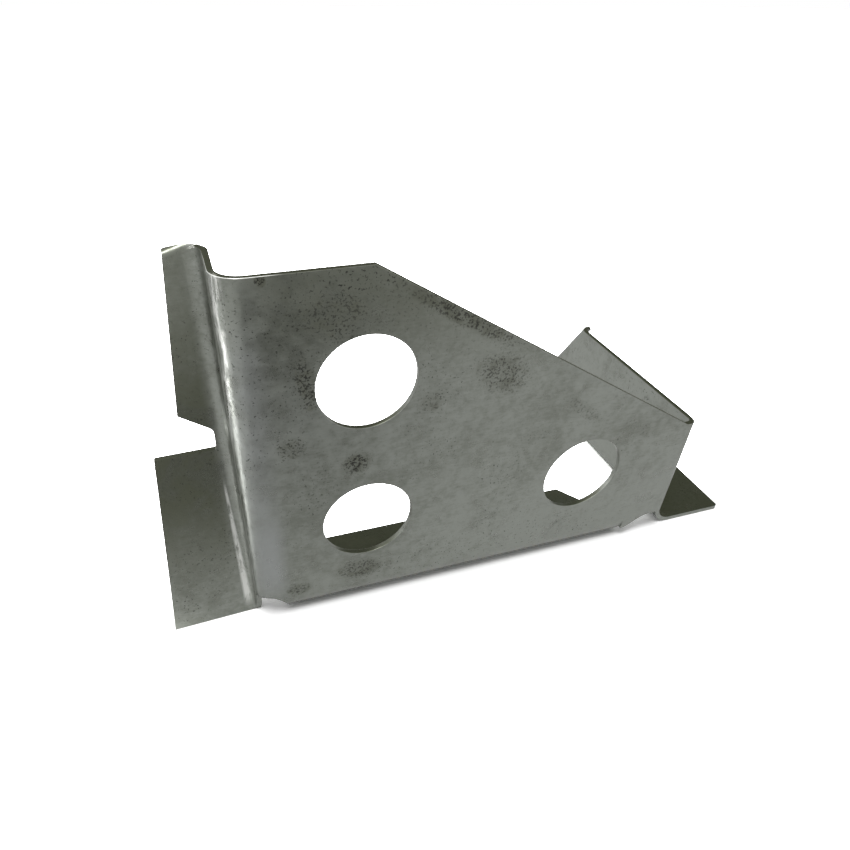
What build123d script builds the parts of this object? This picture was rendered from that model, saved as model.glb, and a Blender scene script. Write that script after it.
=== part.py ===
from build123d import *
import math
import os

# A folded bracket pressed from one sheet of steel. +X runs along the web, +Y points away from
# the web's plain face and +Z is up. It stands on its seat flange, its foot and its lower tab.
# x = 0 lies midway between the two left holes. While it is modelled, y = 0 is the web's
# plain face.

# Sheet, and the inside radius of a plain bend
sheet = 1.5
bend_inner = 1.5

# Web: the tall plate, level at its top left and sloping down to the side flange
web_height = 103.4
web_right = 104.7
slope_top_x = 1.0
slope_end_x = 100.9

# Round holes in the web
hole_radius = 12.5
upper_hole_x = -0.4
upper_hole_z = 75.0
lower_hole_x = 0.4
lower_hole_z = 31.5
right_hole_x = 67.1
right_hole_z = 32.1

# Joggle: the step back from the web to the tabs, shallow at the floor and deep at the top.
# The crest is its bend into the web, and the valley its bend into the tabs.
riser_foot_x = -31.8
riser_top_x = -32.9
riser_flat_foot = 0.6
riser_flat_top = 11.5
crest_inner_foot = 0.8
crest_inner_top = 5.3
valley_inner_foot = 1.9
valley_inner_top = 4.0
tab_turn = 2.2
joggle_run_on = 3.0

# Tabs left of the joggle: a wide lower one and a narrow upper one, with a notch between them
lower_tab_foot_x = -55.3
lower_tab_top_x = -51.6
lower_tab_height = 53.4
notch_end_x = -36.2
notch_end_height = 5.5
notch_mouth_height = 10.7
notch_upper_radius = 1.8
notch_lower_radius = 0.3
lower_tab_corner_radius = 0.3
upper_tab_corner_radius = 0.6
upper_tab_foot_x = -44.2
upper_tab_top_x = -41.1

# Outer top corner of the upper tab, turned back along a slanting fold
turned_width = 7.4
turned_drop = 2.4
turned_angle = 75.0
turned_inner = 0.3
turned_length = 0.9
turned_corner_radius = 0.5

# Side flange, folded back at the right, with its far edge sloping and turned out into a lip
side_height = 43.4
side_splay = 3.2
side_far_y = 65.0
side_far_slope = 33.7
lip_inner = 0.6
lip_reach = 2.0
lip_rise = 1.4
lip_rise_length = 3.7

# Seat flange, folded back under the web, with a mitred corner
seat_depth = 25.2
seat_mitre_depth = 12.4
seat_mitre_width = 8.3
seat_bend_inner = 5.5
origin_y = 14.1

# Foot, folded out from the bottom of the side flange
foot_width = 25.9
foot_bend_inner = 5.5
foot_front_y = 1.65
foot_back_gap = 5.2
foot_corner_radius = 1.2

# Reliefs: a round one at the left end of the seat's bend and a stepped one at its right end
left_relief_radius = 9.1
left_relief_centre_z = 0.4
right_relief_x = 88.9
right_relief_foot = 3.4
right_relief_start_slope = 0.2
right_relief_run = 10.5
right_relief_gap = 0.7

# Cutting tools reach this far past the sheet
clear = 40.0
reach = 260.0

# Worked out from the sizes above
bend_outer = bend_inner + sheet
seat_bend_outer = seat_bend_inner + sheet
foot_bend_outer = foot_bend_inner + sheet
right_relief_height = foot_bend_outer + right_relief_gap
joggle_foot = crest_inner_foot + sheet + riser_flat_foot + valley_inner_foot
joggle_top = crest_inner_top + sheet + riser_flat_top + valley_inner_top
splay_slope = math.tan(math.radians(side_splay))
turn_slope = math.tan(math.radians(tab_turn))
far_slope = math.tan(math.radians(side_far_slope))
joggle_end_x = riser_top_x + crest_inner_top + sheet + joggle_run_on
crest_foot_end_x = riser_foot_x + crest_inner_foot + sheet


def between(foot_value, top_value, height):
    """A value that changes evenly from the floor to the top of the web."""
    return foot_value + (top_value - foot_value) * height / web_height


def tab_face_y(x, height):
    """How far back the plain face of the tabs lies at a place on them."""
    riser_x = between(riser_foot_x, riser_top_x, height)
    return between(joggle_foot, joggle_top, height) - (riser_x - x) * turn_slope


def lower_tab_edge_x(height):
    """Where the lower tab's outer edge stands at this height."""
    return lower_tab_foot_x + (lower_tab_top_x - lower_tab_foot_x) * height / lower_tab_height


def upper_tab_edge_x(height):
    """Where the upper tab's outer edge stands at this height."""
    foot_z = lower_tab_height + notch_mouth_height
    share = (height - foot_z) / (web_height - foot_z)
    return upper_tab_foot_x + (upper_tab_top_x - upper_tab_foot_x) * share


def side_far_edge_y(height):
    """Where the side flange's sloping far edge stands at this height."""
    return side_far_y + (side_height - height) * far_slope


def front_cutter(outline, y_from=-clear, y_to=reach):
    """A tool with an outline in the XZ view that cuts from y_from to y_to."""
    face = Plane.XZ * make_face(outline)
    return extrude(Pos(0, y_from, 0) * face, amount=y_from - y_to)


def side_cutter(outline, x_from, x_to):
    """A tool with an outline in the YZ view that cuts from x_from to x_to."""
    face = Plane.YZ * make_face(outline)
    return extrude(Pos(x_from, 0, 0) * face, amount=x_to - x_from)


def joggle_section(height):
    """Plan of the tabs, the riser and the start of the web at one height, as a ribbon of sheet."""
    riser_x = between(riser_foot_x, riser_top_x, height)
    tab_end_x = lower_tab_foot_x - clear
    plain_face = FilletPolyline(
        (tab_end_x, tab_face_y(tab_end_x, height)),
        (riser_x, tab_face_y(riser_x, height)),
        (riser_x, 0),
        (joggle_end_x, 0),
        radius=[
            between(valley_inner_foot, valley_inner_top, height),
            between(crest_inner_foot, crest_inner_top, height) + sheet,
        ],
    )
    ribbon = make_face(offset(plain_face, amount=sheet, side=Side.LEFT))
    return Pos(0, 0, height) * ribbon


def joggle():
    """The tapering step before it is trimmed, lofted between its plans at floor and top."""
    return loft([joggle_section(0).face(), joggle_section(web_height).face()], ruled=True)


def web_and_side():
    """The web and the side flange before they are trimmed, standing on their plan."""
    far_y = side_far_edge_y(0)
    plain_face = FilletPolyline(
        (joggle_end_x, 0),
        (web_right, 0),
        (web_right + far_y * splay_slope, far_y),
        radius=bend_outer,
    )
    ribbon = make_face(offset(plain_face, amount=sheet, side=Side.LEFT))
    return extrude(ribbon, amount=web_height)


def far_edge_plane():
    """The side flange's plain face at its far edge: z runs down the edge and x out of it."""
    along = Vector(math.sin(math.radians(side_splay)), math.cos(math.radians(side_splay)), 0)
    outward = Vector(along.Y, -along.X, 0)
    slope = math.radians(side_far_slope)
    down_edge = along * math.sin(slope) - Vector(0, 0, math.cos(slope))
    corner_y = side_far_y - sheet / math.cos(slope)
    corner = Vector(web_right + corner_y * splay_slope, corner_y, side_height)
    return Plane(origin=corner, x_dir=outward.cross(down_edge), z_dir=down_edge)


def far_edge_cut(edge):
    """Trims the side flange along its sloping far edge, where the lip's bend begins."""
    block = Box(reach, clear, 2 * reach, align=(Align.MIN, Align.CENTER, Align.CENTER))
    return edge * Pos(-lip_inner, 0, 0) * block


def lip(edge):
    """The strip turned out along the far edge, from above its top to the floor."""
    plain_face = FilletPolyline((-lip_inner - sheet, 0), (0, 0), (0, lip_reach), radius=lip_inner)
    profile = make_face(offset(plain_face, amount=sheet, side=Side.RIGHT))
    length = side_height / math.cos(math.radians(side_far_slope))
    return extrude(edge * Pos(0, 0, -clear) * profile, amount=length + clear, dir=edge.z_dir)


def slope_cut():
    """Trims the web's shoulder along its slope and levels the top of the side flange."""
    outline = Polyline(
        (slope_top_x, web_height),
        (slope_end_x, side_height),
        (reach, side_height),
        (reach, web_height + clear),
        (slope_top_x, web_height + clear),
        close=True,
    )
    return front_cutter(outline, y_to=side_far_y - lip_rise_length)


def lip_top_cut():
    """Trims the lip's top, which rises in a short curve above the rest of the side flange."""
    start_y = side_far_y - lip_rise_length
    rise = TangentArc((start_y, side_height), (side_far_y, side_height + lip_rise), tangent=(1, 0))
    rest = Polyline(
        (side_far_y, side_height + lip_rise),
        (reach, side_height + lip_rise),
        (reach, web_height + clear),
        (start_y, web_height + clear),
        (start_y, side_height),
    )
    return side_cutter(Curve() + [rise, rest], slope_end_x, reach)


def tab_outline_cut():
    """Trims the outer edges of both tabs and the tapering notch between them."""
    edge = FilletPolyline(
        (lower_tab_edge_x(-clear), -clear),
        (lower_tab_top_x, lower_tab_height),
        (notch_end_x, lower_tab_height),
        (notch_end_x, lower_tab_height + notch_end_height),
        (upper_tab_foot_x, lower_tab_height + notch_mouth_height),
        (upper_tab_edge_x(web_height + clear), web_height + clear),
        radius=[
            lower_tab_corner_radius,
            notch_lower_radius,
            notch_upper_radius,
            upper_tab_corner_radius,
        ],
    )
    outside = Polyline(
        (upper_tab_edge_x(web_height + clear), web_height + clear),
        (lower_tab_foot_x - 2 * clear, web_height + clear),
        (lower_tab_foot_x - 2 * clear, -clear),
        (lower_tab_edge_x(-clear), -clear),
    )
    return front_cutter(Curve() + [edge, outside])


def turned_fold_plane():
    """The fold of the turned corner: z runs along it, x up the tab and y into the sheet."""
    high_x = upper_tab_top_x + turned_width
    low_z = web_height - turned_drop
    low_x = upper_tab_edge_x(low_z)
    high = Vector(high_x, tab_face_y(high_x, web_height), web_height)
    low = Vector(low_x, tab_face_y(low_x, low_z), low_z)
    lean = (joggle_top - joggle_foot) / web_height
    shift = (riser_top_x - riser_foot_x) / web_height
    into_sheet = Vector(-turn_slope, 1, shift * turn_slope - lean)
    along = (low - high).normalized()
    return Plane(origin=high, x_dir=into_sheet.cross(along), z_dir=along)


def turned_corner(fold):
    """The bent-over corner itself, tapering to nothing where its fold meets the top edge."""
    length = math.hypot(turned_width, turned_drop)
    radius = turned_inner + sheet
    bend = CenterArc((0, radius), radius, -90, turned_angle)
    flat = PolarLine(bend @ 1, turned_length, direction=bend % 1)
    profile = make_face(offset(Wire([bend, flat]), amount=sheet, side=Side.LEFT))
    strip = extrude(profile, amount=length + 2 * sheet)
    tip = flat @ 1 + Vector(0, 0, length)
    rear_edge = Vector(0, 0, 1).cross(flat % 1)
    taper = Plane(origin=(0, 0, 0), z_dir=rear_edge.cross(tip))
    corner = fold * split(strip, bisect_by=taper, keep=Keep.BOTTOM) - tab_outline_cut()
    outermost_edge = corner.edges().sort_by(Axis((0, 0, 0), (-1, 1, 0)))[-1]
    return fillet(outermost_edge, min(turned_corner_radius, turned_length / 2))


def turned_corner_cut(fold):
    """Clears the flat sheet beyond the fold, to make room for the bent-over corner."""
    size = turned_width + 2 * sheet
    block = Box(size, size, 3 * size, align=(Align.MIN, Align.CENTER, Align.CENTER))
    return fold * block


def seat_cut():
    """Clears the bottom of the web where the seat's bend replaces it."""
    outline = Polyline(
        (crest_foot_end_x, -clear),
        (crest_foot_end_x, seat_bend_outer),
        (right_relief_x, seat_bend_outer),
        (right_relief_x, -clear),
        close=True,
    )
    return front_cutter(outline, y_to=2 * sheet)


def seat_flange():
    """The flange folded back along the bottom of the web, with its right corner mitred."""
    plain_face = FilletPolyline(
        (0, seat_bend_outer + sheet),
        (0, 0),
        (seat_depth, 0),
        radius=seat_bend_outer,
    )
    profile = make_face(offset(plain_face, amount=sheet, side=Side.LEFT))
    length = right_relief_x - crest_foot_end_x
    flange = extrude(Pos(crest_foot_end_x, 0, 0) * (Plane.YZ * profile), amount=length)
    mitre = Polyline(
        (right_relief_x, seat_depth - seat_mitre_depth),
        (right_relief_x, seat_depth),
        (right_relief_x - seat_mitre_width, seat_depth),
        close=True,
    )
    return flange - extrude(make_face(mitre), amount=clear, both=True)


def left_relief_cut():
    """The round relief where the seat's bend meets the joggle: one tool each for web and riser."""
    disc = Pos(riser_foot_x, 0, left_relief_centre_z) * (Plane.XZ * Circle(left_relief_radius))
    from_left = (Align.MIN, Align.CENTER, Align.CENTER)
    before_riser = Pos(riser_foot_x, 0, 0) * Box(reach, 2 * bend_outer, reach, align=from_left)
    past_riser = Pos(crest_foot_end_x, 0, 0) * Box(reach, reach, reach, align=from_left)
    in_web = extrude(disc, amount=clear, both=True) & (before_riser + past_riser)
    top_z = left_relief_centre_z + left_relief_radius
    in_riser = side_cutter(
        Polyline(
            (-clear, top_z),
            (sheet, top_z),
            (joggle_foot, 0),
            (joggle_foot, -clear),
            (-clear, -clear),
            close=True,
        ),
        riser_foot_x - sheet,
        crest_foot_end_x,
    )
    return in_web + in_riser


def right_relief_cut():
    """The relief that sweeps up from the seat's bend and runs level to the foot."""
    sweep = Spline(
        (right_relief_x, right_relief_foot),
        (right_relief_x + right_relief_run, right_relief_height),
        tangents=[(1, right_relief_start_slope), (1, 0)],
    )
    rest = Polyline(
        (right_relief_x + right_relief_run, right_relief_height),
        (reach, right_relief_height),
        (reach, -clear),
        (right_relief_x, -clear),
        (right_relief_x, right_relief_foot),
    )
    return front_cutter(Curve() + [sweep, rest], y_to=foot_front_y)


def foot_bend_cut():
    """Clears the bottom of the side flange where the foot's bend replaces it."""
    outline = Polyline(
        (right_relief_x + right_relief_run, -clear),
        (right_relief_x + right_relief_run, foot_bend_outer),
        (reach, foot_bend_outer),
        (reach, -clear),
        close=True,
    )
    return front_cutter(outline, y_from=foot_front_y)


def foot():
    """The foot folded out from the side flange, square to it and cut level with the web."""
    length = (side_far_edge_y(foot_bend_outer) - foot_back_gap) / math.cos(math.radians(side_splay))
    plain_face = FilletPolyline(
        (-sheet, foot_bend_outer + sheet),
        (-sheet, 0),
        (foot_width, 0),
        radius=foot_bend_outer,
    )
    profile = make_face(offset(plain_face, amount=sheet, side=Side.LEFT))
    bent = extrude(Plane.XZ * profile, amount=-length)
    turned = Pos(web_right, 0, 0) * Rot(0, 0, -side_splay) * bent
    front = front_cutter(
        Polyline((-reach, -clear), (-reach, clear), (reach, clear), (reach, -clear), close=True),
        y_to=foot_front_y,
    )
    square = turned - front
    outer_corners = square.edges().filter_by(Axis.Z).sort_by(Axis.X)[-2:]
    return fillet(outer_corners, foot_corner_radius)


def web_holes():
    """Three round holes through the web."""
    tool = Rot(90, 0, 0) * Cylinder(hole_radius, 4 * sheet)
    places = [
        (upper_hole_x, upper_hole_z),
        (lower_hole_x, lower_hole_z),
        (right_hole_x, right_hole_z),
    ]
    return [Pos(x, 0, z) * tool for x, z in places]


def make_bracket():
    """The whole folded sheet, moved so that its origin lies under the flat of the seat."""
    fold = turned_fold_plane()
    edge = far_edge_plane()
    side = web_and_side() - far_edge_cut(edge) + lip(edge)
    wall = joggle() + side - slope_cut() - lip_top_cut() - turned_corner_cut(fold)
    wall = wall + turned_corner(fold) - tab_outline_cut()
    wall = wall - seat_cut() - foot_bend_cut() - web_holes()
    body = wall + seat_flange() + foot()
    body = body - left_relief_cut() - right_relief_cut()
    return Pos(0, -origin_y, 0) * body


bracket = make_bracket()
os.makedirs("parts", exist_ok=True)
export_step(bracket, "parts/bracket.step")
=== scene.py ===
import math

import bmesh
import bpy
from mathutils import Euler, Matrix


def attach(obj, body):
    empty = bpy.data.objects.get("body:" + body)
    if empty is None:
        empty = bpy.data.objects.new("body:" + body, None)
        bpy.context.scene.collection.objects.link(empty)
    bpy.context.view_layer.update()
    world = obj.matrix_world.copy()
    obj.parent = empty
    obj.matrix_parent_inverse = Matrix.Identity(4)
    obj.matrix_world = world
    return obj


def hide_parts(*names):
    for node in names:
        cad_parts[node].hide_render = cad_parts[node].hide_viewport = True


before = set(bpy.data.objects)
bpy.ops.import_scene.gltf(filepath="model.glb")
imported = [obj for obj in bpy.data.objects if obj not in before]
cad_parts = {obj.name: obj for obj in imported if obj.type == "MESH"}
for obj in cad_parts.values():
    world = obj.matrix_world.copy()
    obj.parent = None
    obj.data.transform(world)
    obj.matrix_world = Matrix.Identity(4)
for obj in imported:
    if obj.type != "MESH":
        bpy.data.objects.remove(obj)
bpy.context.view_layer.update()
scene = bpy.context.scene
scene.view_settings.view_transform = "Standard"


def newMaterial(name):
    material = bpy.data.materials.new(name)
    material.use_nodes = True
    tree = material.node_tree
    tree.nodes.clear()
    return material, tree


def addNode(tree, kind, **settings):
    node = tree.nodes.new(kind)
    for key, value in settings.items():
        if key.startswith("in_"):
            node.inputs[key[3:].replace("_", " ")].default_value = value
        else:
            setattr(node, key, value)
    return node


def link(tree, outSocket, inSocket):
    tree.links.new(outSocket, inSocket)


def feed(tree, value, socket):
    if isinstance(value, (int, float, tuple)):
        socket.default_value = value
    else:
        link(tree, value, socket)


def splitAxes(tree, vector):
    node = addNode(tree, "ShaderNodeSeparateXYZ")
    link(tree, vector, node.inputs["Vector"])
    return node.outputs["X"], node.outputs["Y"], node.outputs["Z"]


def calc(tree, operation, *values):
    node = addNode(tree, "ShaderNodeMath", operation=operation)
    for slot, value in enumerate(values):
        feed(tree, value, node.inputs[slot])
    return node.outputs[0]


def remap(tree, value, low, high, toLow=0.0, toHigh=1.0, smooth=True):
    node = addNode(tree, "ShaderNodeMapRange")
    node.interpolation_type = "SMOOTHSTEP" if smooth else "LINEAR"
    node.inputs["From Min"].default_value = low
    node.inputs["From Max"].default_value = high
    node.inputs["To Min"].default_value = toLow
    node.inputs["To Max"].default_value = toHigh
    link(tree, value, node.inputs["Value"])
    return node.outputs["Result"]


mixSlots = {"factor": 0, "first": 6, "second": 7, "result": 2}      # the colour ones of a Mix node


def mixColour(tree, factor, first, second):
    node = addNode(tree, "ShaderNodeMix", data_type="RGBA")
    feed(tree, factor, node.inputs[mixSlots["factor"]])
    feed(tree, first, node.inputs[mixSlots["first"]])
    feed(tree, second, node.inputs[mixSlots["second"]])
    return node.outputs[mixSlots["result"]]


def times(tree, first, *others):
    for other in others:
        first = calc(tree, "MULTIPLY", first, other)
    return first


def highest(tree, first, *others):
    for other in others:
        first = calc(tree, "MAXIMUM", first, other)
    return first


def shared(tree, parts):
    (first, firstShare), *others = parts
    total = calc(tree, "MULTIPLY", first, firstShare)
    for part, share in others:
        total = calc(tree, "MULTIPLY_ADD", part, share, total)
    return total


def towards(tree, value, level, share):
    return calc(tree, "MULTIPLY_ADD", share, calc(tree, "SUBTRACT", level, value), value)


def within(tree, value, low, high, soft):
    rise = remap(tree, value, low - soft, low + soft)
    fall = remap(tree, value, high - soft, high + soft, 1.0, 0.0)
    return times(tree, rise, fall)


# distance from the middle of an ellipse, 1 at its rim
def ellipse(tree, where, middle, reach, turn):
    node = addNode(tree, "ShaderNodeMapping", vector_type="TEXTURE")
    node.inputs["Location"].default_value = middle
    node.inputs["Rotation"].default_value = turn
    node.inputs["Scale"].default_value = reach
    link(tree, where, node.inputs["Vector"])
    length = addNode(tree, "ShaderNodeVectorMath", operation="LENGTH")
    link(tree, node.outputs["Vector"], length.inputs[0])
    return length.outputs["Value"]


cameraLook = {
    "place": (-0.03766, -0.12787, 0.14834),
    "headingTurn": -16.86,      # degrees to the right of +Y
    "lookDown": 34.86,
    "roll": 0.387,
    "focalLength": 25.726,
    "sensorWidth": 36.0,
    "shift": (0.0807, -0.0067),
    "nearest": 0.005,
}


def makeCamera():
    data = bpy.data.cameras.new("photoCamera")
    data.lens = cameraLook["focalLength"]
    data.sensor_width = cameraLook["sensorWidth"]
    data.shift_x, data.shift_y = cameraLook["shift"]
    data.clip_start = cameraLook["nearest"]
    camera = bpy.data.objects.new("photoCamera", data)
    heading = Matrix.Rotation(math.radians(cameraLook["headingTurn"]), 4, "Z")
    tilt = Matrix.Rotation(math.radians(90.0 - cameraLook["lookDown"]), 4, "X")
    roll = Matrix.Rotation(math.radians(cameraLook["roll"]), 4, "Z")
    camera.matrix_world = Matrix.Translation(cameraLook["place"]) @ heading @ tilt @ roll
    scene.collection.objects.link(camera)
    scene.camera = camera
    print("camera placed")


steelLook = {
    "paleGrey": (0.288, 0.302, 0.275, 1.0),
    "darkGrey": (0.190, 0.200, 0.174, 1.0),
    "oliveGrimeAndShade": (0.108, 0.115, 0.083, 1.0),        # grime on the upper web, and painted shade there, on the tabs and on every face that faces up
    "lilac": (0.345, 0.358, 0.356, 1.0),        # smooth strip beside the crest
    "stain": (0.095, 0.098, 0.070, 1.0),
    "speck": (0.016, 0.016, 0.013, 1.0),
    "rubbedAndHighlight": (0.68, 0.69, 0.655, 1.0),          # bright metal where the die has dragged, and painted highlight on the crest, the top arris and the valley
    "metallic": 0.9,
    "roughness": (0.35, 0.65, 0.27, 0.43),       # a ramp that follows the patches
    "soiledRougher": 0.15,
    "bumpStrength": 0.3,
    "bumpDistance": 0.00014,
    "bumpShares": {"mottle": 0.5, "patches": 0.5, "rolled": 0.12, "dragged": 2.0},
}

grainLook = {
    "clouds": {"scale": 30.0, "detail": 3.0, "roughness": 0.55, "distortion": 0.6},
    "patches": {"scale": 130.0, "detail": 5.0, "roughness": 0.62, "distortion": 0.8},
    "mottle": {"scale": 420.0, "detail": 4.0, "roughness": 0.65, "distortion": 0.4},
    "rolled": {"scale": 1500.0, "detail": 3.0, "roughness": 0.6, "distortion": 0.0, "stretch": (0.25, 1, 1)},
    "dots": {"scale": 1500.0, "detail": 3.0, "roughness": 0.65, "distortion": 0.2},
    "dotFields": {"scale": 45.0, "detail": 3.0, "roughness": 0.5, "distortion": 0.0},
    "drag": {"scale": 700.0, "detail": 4.0, "roughness": 0.7, "distortion": 0.5, "stretch": (1, 1, 0.22)},
}


def makeGrain(tree, where):
    grain = {}
    for name, look in grainLook.items():
        node = addNode(tree, "ShaderNodeTexNoise", in_Scale=look["scale"], in_Detail=look["detail"])
        node.inputs["Roughness"].default_value = look["roughness"]
        node.inputs["Distortion"].default_value = look["distortion"]
        vector = where
        if "stretch" in look:
            stretching = addNode(tree, "ShaderNodeMapping", in_Scale=look["stretch"])
            link(tree, where, stretching.inputs["Vector"])
            vector = stretching.outputs["Vector"]
        link(tree, vector, node.inputs["Vector"])
        grain[name] = node.outputs["Fac"]
    return grain


# In the masks from here on, three numbers are a band: low, high, softness. Two are a ramp from 0 to 1,
# and four are a ramp from the first two to the last two. Lengths are in metres.
toneLook = {
    "shares": {"clouds": 0.30, "patches": 0.30, "mottle": 0.25, "rolled": 0.15},
    "cleanest": (-0.03, 0.06),                  # x less z: the low right end is the cleanest
    "cleanShare": 0.035,
    "darkToPale": (0.38, 0.60),
}


def greyColour(tree, axes, grain):
    tone = shared(tree, [(grain[name], share) for name, share in toneLook["shares"].items()])
    clean = remap(tree, calc(tree, "SUBTRACT", axes["x"], axes["z"]), *toneLook["cleanest"])
    tone = calc(tree, "MULTIPLY_ADD", clean, toneLook["cleanShare"], tone)
    tone = remap(tree, tone, *toneLook["darkToPale"])
    return mixColour(tree, tone, steelLook["darkGrey"], steelLook["paleGrey"])


grimeAndShadeLook = {
    "webStart": (-0.034, -0.030),               # x
    "webHigh": (0.066, 0.104, 0.0, 0.60),       # z
    "besideCrest": (-0.030, -0.018, 0.35, 1.0),
    "tabEnd": (-0.038, -0.034, 1.0, 0.0),
    "tabRise": (0.0, 0.045, 0.05, 0.92),
    "tabTop": (0.06, 0.10, 1.0, 0.50),
    "facingUp": (0.5, 0.9, 0.0, 0.9),
    "patchy": (0.3, 0.6, 0.75, 1.1),
}


# painted shade, partly real grime: the upper web is darkened
def webGrimeAndShade(tree, axes):
    high = remap(tree, axes["z"], *grimeAndShadeLook["webHigh"])
    onWeb = remap(tree, axes["x"], *grimeAndShadeLook["webStart"])
    return times(tree, high, onWeb, remap(tree, axes["x"], *grimeAndShadeLook["besideCrest"]))


# painted shade: the tabs darken with height and faces that point up darken, broken up by the patches
def grimeAndShade(tree, axes, grain, high):
    onTab = remap(tree, axes["x"], *grimeAndShadeLook["tabEnd"])
    rise = remap(tree, axes["z"], *grimeAndShadeLook["tabRise"])
    tab = times(tree, onTab, rise, remap(tree, axes["z"], *grimeAndShadeLook["tabTop"]))
    flat = remap(tree, axes["up"], *grimeAndShadeLook["facingUp"])
    return times(tree, highest(tree, high, tab, flat), remap(tree, grain["patches"], *grimeAndShadeLook["patchy"]))


# stains on the web's front: middle (x, z), reach (x, z) in millimetres, turn in degrees, strength
stainLook = {
    "topHaze": ((2, 95), (36, 12), 4, 0.30),
    "leftHaze": ((-12, 66), (14, 38), 6, 0.16),
    "topLeft": ((-8, 93), (14, 9), 0, 0.60),
    "slopeEdge": ((23, 88.5), (30, 3.5), -31, 0.80),
    "slopeCorner": ((35, 72), (13, 9), -30, 0.70),
    "slopeMiddle": ((62, 56), (16, 3.5), -36, 0.45),
    "leftOfHole": ((-15, 77), (4, 12), 8, 0.85),
    "aboveLowerHole": ((-3, 52), (6, 5), 20, 0.95),
    "leftMiddle": ((-19, 60), (6, 5), -20, 0.70),
    "underLowerHole": ((-2, 13), (11, 6), 0, 0.75),
    "leftFoot": ((-20, 10), (6, 4), 0, 0.70),
    "besideHole": ((16, 67), (6, 5), 40, 0.55),
    "topSmudge": ((-23.2, 102.4), (1.8, 2.2), 0, 1.0),
    "rightMiddle": ((48, 50), (9, 5), 10, 0.35),
    "rightEnd": ((84, 45), (9, 4), -40, 0.40),
}

stainSpread = {
    "webFace": -0.0141,                         # y of the web's front face
    "depth": 0.001,
    "core": 0.25,                               # share of the reach that is full strength
    "patchShare": 2.4,
    "mottleShare": 2.6,
    "soiling": (0.05, 1.25, 0.0, 0.62),
    "edge": (0.0, 0.6),
}


def stainField(tree, where):
    stains = []
    for (x, z), (reachX, reachZ), turn, strength in stainLook.values():
        middle = (x / 1000, stainSpread["webFace"], z / 1000)
        reach = (reachX / 1000, stainSpread["depth"], reachZ / 1000)
        distance = ellipse(tree, where, middle, reach, (0, math.radians(-turn), 0))
        stains.append(remap(tree, distance, stainSpread["core"], 1.0, strength, 0.0))
    return highest(tree, *stains)


def soiledShare(tree, grain, stains):
    broken = stains
    for name, share in (("patches", stainSpread["patchShare"]), ("mottle", stainSpread["mottleShare"])):
        broken = calc(tree, "MULTIPLY_ADD", calc(tree, "SUBTRACT", grain[name], 0.5), share, broken)
    soiled = remap(tree, broken, *stainSpread["soiling"])
    return times(tree, soiled, remap(tree, stains, *stainSpread["edge"]))


stripLook = {
    "smooth": {"x": (-0.031, -0.0235, 0.0028), "z": (0.010, 0.040, 0.010), "strength": 0.75},
    "patchy": {"x": (-0.031, -0.0245, 0.003), "z": (0.030, 0.088, 0.010), "strength": 0.9},
}


def stripMask(tree, axes, look):
    return times(tree, within(tree, axes["x"], *look["x"]), within(tree, axes["z"], *look["z"]))


dotLook = {
    "stainShare": 0.13,                         # stains hold more dots
    "threshold": (0.60, 0.68),
    "fields": (0.45, 0.62, 0.16, 0.70),
    "grimeShare": 0.35,
    "stainStrength": 0.9,
}


def dotMask(tree, grain, stains, high, smooth):
    dots = calc(tree, "MULTIPLY_ADD", stains, dotLook["stainShare"], grain["dots"])
    dots = remap(tree, dots, *dotLook["threshold"])
    field = remap(tree, grain["dotFields"], *dotLook["fields"])
    field = calc(tree, "MULTIPLY_ADD", high, dotLook["grimeShare"], field)
    field = highest(tree, field, times(tree, stains, dotLook["stainStrength"]))
    return times(tree, dots, times(tree, field, calc(tree, "SUBTRACT", 1.0, smooth)))


rubbedAndHighlightLook = {
    "crest": {
        "x": (-0.0336, -0.0310, 0.0007),
        "y": (-0.0075, -0.0105),
        "z": (0.050, 0.085, 0.0, 1.0),
        "drag": (0.45, 0.62),
    },
    "rim": {                                    # painted highlight on the arris along the top of the web
        "up": (0.25, 0.85, 0.1),
        "z": (0.1015, 0.1028),
        "x": (-0.0345, -0.020, 0.002),
    },
    "valley": {                                 # a painted highlight streak with rubbed metal, that leans and narrows upwards
        "middle": (0.004, 0.045, -0.0340, -0.0357),
        "width": (0.004, 0.045, 0.0012, 0.0003),
        "fade": (0.35, 1.25, 1.0, 0.0),
        "z": (0.004, 0.042, 0.003),
        "y": (-0.0112, -0.0100),
        "drag": (0.32, 0.52),
    },
}


def crestMask(tree, axes):
    look = rubbedAndHighlightLook["crest"]
    crest = times(tree, within(tree, axes["x"], *look["x"]), remap(tree, axes["y"], *look["y"]))
    return times(tree, crest, remap(tree, axes["z"], *look["z"]))


def rimMask(tree, axes):
    look = rubbedAndHighlightLook["rim"]
    rim = times(tree, within(tree, axes["up"], *look["up"]), remap(tree, axes["z"], *look["z"]))
    return times(tree, rim, within(tree, axes["x"], *look["x"]))


def valleyMask(tree, axes, drag):
    look = rubbedAndHighlightLook["valley"]
    aside = calc(tree, "SUBTRACT", axes["x"], remap(tree, axes["z"], *look["middle"], smooth=False))
    width = remap(tree, axes["z"], *look["width"], smooth=False)
    aside = calc(tree, "DIVIDE", calc(tree, "ABSOLUTE", aside), width)
    valley = times(tree, remap(tree, aside, *look["fade"]), within(tree, axes["z"], *look["z"]))
    return times(tree, valley, remap(tree, axes["y"], *look["y"]), remap(tree, drag, *look["drag"]))


def steelBump(tree, grain, crest):
    layers = dict(grain, dragged=times(tree, grain["drag"], crest))
    shares = steelLook["bumpShares"].items()
    height = shared(tree, [(layers[name], share) for name, share in shares])
    bump = addNode(tree, "ShaderNodeBump", in_Strength=steelLook["bumpStrength"])
    bump.inputs["Distance"].default_value = steelLook["bumpDistance"]
    link(tree, height, bump.inputs["Height"])
    return bump.outputs["Normal"]


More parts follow.
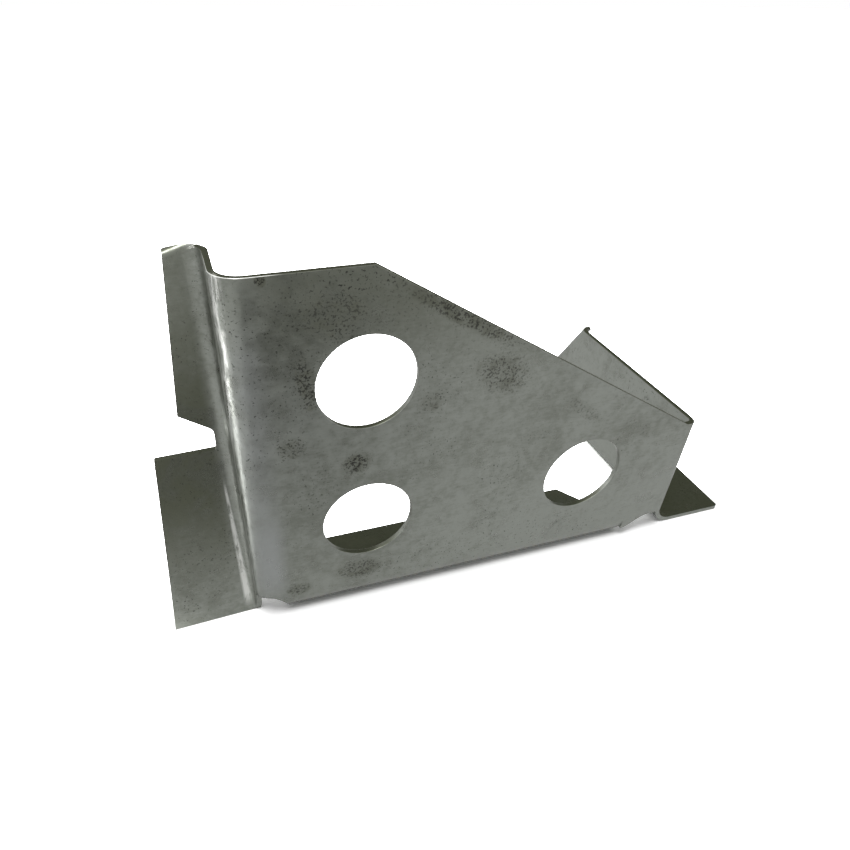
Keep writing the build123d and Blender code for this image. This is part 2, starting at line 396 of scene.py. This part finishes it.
def makeSteel():
    material, tree = newMaterial("bareSteel")
    coordinates = addNode(tree, "ShaderNodeTexCoord").outputs
    where = coordinates["Object"]
    axes = dict(zip("xyz", splitAxes(tree, where)))
    axes["up"] = splitAxes(tree, coordinates["Normal"])[2]
    grain = makeGrain(tree, where)

    high = webGrimeAndShade(tree, axes)
    colour = greyColour(tree, axes, grain)
    # olive grime and painted shade
    colour = mixColour(tree, grimeAndShade(tree, axes, grain, high), colour, steelLook["oliveGrimeAndShade"])
    stains = stainField(tree, where)
    soiled = soiledShare(tree, grain, stains)
    colour = mixColour(tree, soiled, colour, steelLook["stain"])

    smooth = stripMask(tree, axes, stripLook["smooth"])
    patchy = times(tree, stripMask(tree, axes, stripLook["patchy"]), grain["patches"])
    smoothPaler = times(tree, smooth, stripLook["smooth"]["strength"])
    patchyPaler = times(tree, patchy, stripLook["patchy"]["strength"])
    colour = mixColour(tree, highest(tree, smoothPaler, patchyPaler), colour, steelLook["lilac"])
    colour = mixColour(tree, dotMask(tree, grain, stains, high, smooth), colour, steelLook["speck"])

    # painted highlight and rubbed metal: the crest, the top arris and the valley streak turn pale
    crest = crestMask(tree, axes)
    crestRubbedAndHighlight = times(tree, crest, remap(tree, grain["drag"], *rubbedAndHighlightLook["crest"]["drag"]))
    rubbedAndHighlight = highest(tree, crestRubbedAndHighlight, rimMask(tree, axes), valleyMask(tree, axes, grain["drag"]))
    colour = mixColour(tree, rubbedAndHighlight, colour, steelLook["rubbedAndHighlight"])

    rough = remap(tree, grain["patches"], *steelLook["roughness"])
    rough = calc(tree, "MULTIPLY_ADD", soiled, steelLook["soiledRougher"], rough)
    shader = addNode(tree, "ShaderNodeBsdfPrincipled", in_Metallic=steelLook["metallic"])
    link(tree, colour, shader.inputs["Base Color"])
    link(tree, rough, shader.inputs["Roughness"])
    link(tree, steelBump(tree, grain, crest), shader.inputs["Normal"])
    out = addNode(tree, "ShaderNodeOutputMaterial")
    link(tree, shader.outputs["BSDF"], out.inputs["Surface"])
    print("steel mixed:", len(tree.nodes), "nodes")
    return material


sheetLook = {
    "weld": 0.00001,
    "flatAngle": 0.3,           # degrees between faces that are joined into one
    "edgeAngle": 50.0,          # sharper edges are cut edges, and get rounded
    "edgeRound": 0.00020,
    "roundAbove": 0.012,        # z; rounding lower down makes spikes
    "shortEdge": 0.0004,        # corners that meet an edge shorter than this stay square
    "roundSegments": 2,
    "smoothAngle": 35.0,
    "shadingWeight": 100,       # keeps the flats flat beside the bends
}


def hasRoom(corner):
    shortest = min(edge.calc_length() for edge in corner.link_edges)
    return corner.co.z > sheetLook["roundAbove"] and shortest > sheetLook["shortEdge"]


def makeFoldedSheet(steel):
    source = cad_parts["bracket"]
    bm = bmesh.new()
    bm.from_mesh(source.data)
    bmesh.ops.remove_doubles(bm, verts=bm.verts, dist=sheetLook["weld"])
    bmesh.ops.dissolve_limit(
        bm, angle_limit=math.radians(sheetLook["flatAngle"]), verts=bm.verts, edges=bm.edges)
    cutEdges = [e for e in bm.edges if len(e.link_faces) == 2
                and e.calc_face_angle() > math.radians(sheetLook["edgeAngle"])
                and all(hasRoom(corner) for corner in e.verts)]
    bmesh.ops.bevel(
        bm, geom=cutEdges, offset=sheetLook["edgeRound"], offset_type="OFFSET",
        segments=sheetLook["roundSegments"], profile=0.5, affect="EDGES", material=-1,
        clamp_overlap=False, loop_slide=True)
    bmesh.ops.recalc_face_normals(bm, faces=bm.faces)
    mesh = bpy.data.meshes.new("foldedSheet")
    bm.to_mesh(mesh)
    bm.free()
    sheet = bpy.data.objects.new("foldedSheet", mesh)
    scene.collection.objects.link(sheet)
    mesh.materials.append(steel)
    for face in mesh.polygons:
        face.use_smooth = True
    mesh.set_sharp_from_angle(angle=math.radians(sheetLook["smoothAngle"]))
    evenShading = sheet.modifiers.new("evenShading", "WEIGHTED_NORMAL")
    evenShading.mode = "FACE_AREA"
    evenShading.weight = sheetLook["shadingWeight"]
    evenShading.keep_sharp = True
    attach(sheet, "root")
    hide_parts("bracket")
    print("folded sheet:", len(mesh.polygons), "faces")


floorLook = {
    "size": 24.0,
    "colour": 0.80,
    "seenInFront": 1.08,        # low enough for the shadow close to the metal to show
    # painted light: behind the metal the floor is lifted far past white, so the shadow cast there washes out
    "seenBehind": 5.0,
    "frontToBehind": (-0.013, 0.016),           # y
    "seenInMetal": 0.72,
}

# what the metal mirrors of the floor: the darker front, then the bright light from the left
floorPatches = {
    "shade": {
        "middle": (-0.02, -0.25, 0), "reach": (0.13, 0.25, 1), "turn": 0.0, "core": 0.35, "level": 0.24},
    "windowLight": {
        "middle": (-0.145, 0.018, 0), "reach": (0.11, 0.026, 1), "turn": -18.0, "core": 0.55, "level": 3.9},
}


def mirroredFloor(tree, where):
    level = floorLook["seenInMetal"]
    for look in floorPatches.values():
        turn = (0, 0, math.radians(look["turn"]))
        distance = ellipse(tree, where, look["middle"], look["reach"], turn)
        share = remap(tree, distance, look["core"], 1.0, 1.0, 0.0)
        level = towards(tree, level, look["level"], share)
    return level


def makeFloor():
    bm = bmesh.new()
    bmesh.ops.create_grid(bm, x_segments=1, y_segments=1, size=floorLook["size"] / 2)
    mesh = bpy.data.meshes.new("studioFloor")
    bm.to_mesh(mesh)
    bm.free()
    floor = bpy.data.objects.new("studioFloor", mesh)
    scene.collection.objects.link(floor)
    material, tree = newMaterial("paleFloor")
    where = addNode(tree, "ShaderNodeTexCoord").outputs["Object"]
    rays = addNode(tree, "ShaderNodeLightPath").outputs
    y = splitAxes(tree, where)[1]
    # painted light on the floor behind the metal, for the camera only
    direct = remap(tree, y, *floorLook["frontToBehind"], floorLook["seenInFront"], floorLook["seenBehind"])
    level = towards(tree, floorLook["colour"], direct, rays["Is Camera Ray"])
    mirrored = highest(tree, rays["Is Glossy Ray"], rays["Is Transmission Ray"])
    level = towards(tree, level, mirroredFloor(tree, where), mirrored)
    matte = addNode(tree, "ShaderNodeBsdfDiffuse")
    link(tree, level, matte.inputs["Color"])
    out = addNode(tree, "ShaderNodeOutputMaterial")
    link(tree, matte.outputs["BSDF"], out.inputs["Surface"])
    mesh.materials.append(material)
    print("floor laid")


# a dark card behind the object on the right, which only the metal sees: a painted reflection of a dim room,
# glowing faintly
backCardLook = {
    "centre": (1.3, 1.2, 2.4),
    "size": (4.8, 4.8, 1.0),
    "turn": -42.0,
    "tone": 0.20,
    "colour": (1.0, 1.05, 0.78, 1.0),
}


def makeBackCard():
    bm = bmesh.new()
    bmesh.ops.create_grid(bm, x_segments=1, y_segments=1, size=0.5)
    bmesh.ops.scale(bm, vec=backCardLook["size"], verts=bm.verts)
    for angle, axis in ((90.0, "X"), (backCardLook["turn"], "Z")):
        turning = Matrix.Rotation(math.radians(angle), 3, axis)
        bmesh.ops.rotate(bm, matrix=turning, verts=bm.verts)
    bmesh.ops.translate(bm, vec=backCardLook["centre"], verts=bm.verts)
    mesh = bpy.data.meshes.new("backCard")
    bm.to_mesh(mesh)
    bm.free()
    card = bpy.data.objects.new("backCard", mesh)
    scene.collection.objects.link(card)
    for kind in ("camera", "diffuse", "shadow", "volume_scatter"):
        setattr(card, "visible_" + kind, False)
    material, tree = newMaterial("backCard")
    glow = addNode(tree, "ShaderNodeEmission", in_Strength=backCardLook["tone"])
    glow.inputs["Color"].default_value = backCardLook["colour"]
    out = addNode(tree, "ShaderNodeOutputMaterial")
    link(tree, glow.outputs["Emission"], out.inputs["Surface"])
    mesh.materials.append(material)
    print("back card stood")


# bearing in degrees to the right of +Y, height in degrees above the floor
lampLook = {
    "overhead": {"strength": 2.1, "spread": 22.0, "bearing": -130.0, "height": 72.0},
    "window": {"strength": 0.7, "spread": 46.0, "bearing": -80.0, "height": 24.0},
}


def makeLamp(name, look):
    data = bpy.data.lights.new(name, "SUN")
    data.energy = look["strength"]
    data.angle = math.radians(look["spread"])
    lamp = bpy.data.objects.new(name, data)
    tilt = math.radians(look["height"] - 90.0)
    lamp.rotation_euler = Euler((tilt, 0.0, math.radians(-look["bearing"])))
    scene.collection.objects.link(lamp)


worldLook = {
    "colour": (1.0, 1.0, 1.0, 1.0),
    "lowToHigh": (0.3, 0.95, 0.04, 0.62),       # by the height of the direction
    "seen": 1.0,                                # what the camera and the metal see
}


def makeWorld():
    world = bpy.data.worlds.new("softRoom")
    world.use_nodes = True
    tree = world.node_tree
    tree.nodes.clear()
    up = splitAxes(tree, addNode(tree, "ShaderNodeTexCoord").outputs["Generated"])[2]
    level = remap(tree, up, *worldLook["lowToHigh"])
    rays = addNode(tree, "ShaderNodeLightPath").outputs
    seen = highest(tree, rays["Is Camera Ray"], rays["Is Glossy Ray"], rays["Is Transmission Ray"])
    background = addNode(tree, "ShaderNodeBackground", in_Color=worldLook["colour"])
    link(tree, towards(tree, level, worldLook["seen"], seen), background.inputs["Strength"])
    out = addNode(tree, "ShaderNodeOutputWorld")
    link(tree, background.outputs["Background"], out.inputs["Surface"])
    scene.world = world
    print("room lit")


makeCamera()
makeFoldedSheet(makeSteel())
makeFloor()
makeBackCard()
for lampName, lampValues in lampLook.items():
    makeLamp(lampName, lampValues)
makeWorld()
